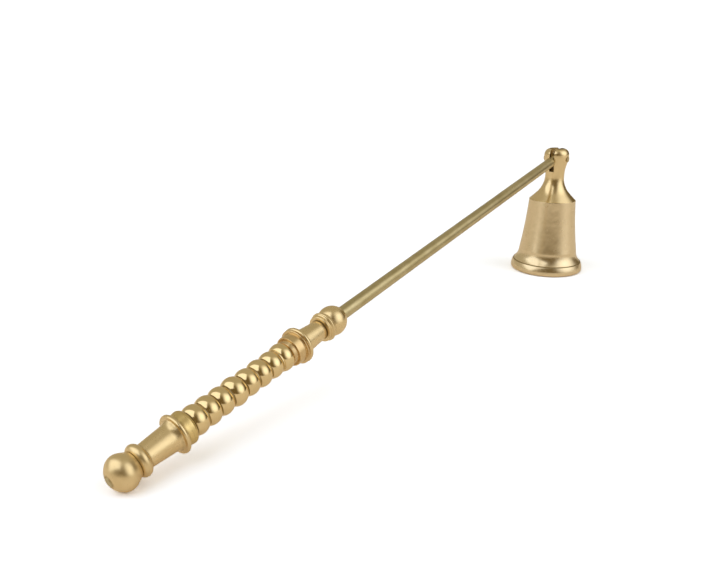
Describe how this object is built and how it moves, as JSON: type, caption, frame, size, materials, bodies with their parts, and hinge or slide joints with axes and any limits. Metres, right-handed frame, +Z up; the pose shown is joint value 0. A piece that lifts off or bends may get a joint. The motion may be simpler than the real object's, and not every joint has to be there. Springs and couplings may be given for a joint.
{
  "type": "candle snuffer",
  "caption": "Long-handled candle snuffer: a turned, beaded handle on a thin rod, with a bell-shaped cup that swings on a cross pin in a forked knob.",
  "frame": {"origin": "middle of the object's footprint on the table, at table height", "axes": "+X from the end ball towards the bell, +Y along the hinge pin, +Z up"},
  "size_m": [0.236, 0.0306, 0.0527],
  "materials": {
    "turned_brass": "turned and polished, with fine turning lines and tarnish in the grooves",
    "drawn_brass": "drawn rod, brushed along its length and slightly tarnished",
    "satin_brass": "satin, finely brushed around the bell",
    "pin_brass": "riveted and filed flush"
  },
  "bodies": {
    "handle": {"end_ball": "turned_brass", "near_ring": "turned_brass", "near_ferrule": "turned_brass", "near_cup": "turned_brass", "bead_1": "turned_brass", "bead_2": "turned_brass", "bead_3": "turned_brass", "bead_4": "turned_brass", "bead_5": "turned_brass", "bead_6": "turned_brass", "bead_7": "turned_brass", "bead_8": "turned_brass", "far_cup": "turned_brass", "far_ferrule": "turned_brass", "far_collar": "turned_brass", "front_ball": "turned_brass", "rod": "drawn_brass"},
    "bell": {"bell_cup": "satin_brass", "bell_fork": "turned_brass", "hinge_pin": "pin_brass"}
  },
  "joints": [
    {"name": "bell_hinge", "type": "hinge", "parent": "handle", "child": "bell", "pos_m": [0.10279, 0, 0.0485], "axis": [0, 1, 0], "range_deg": [-226, 24]}
  ]
}
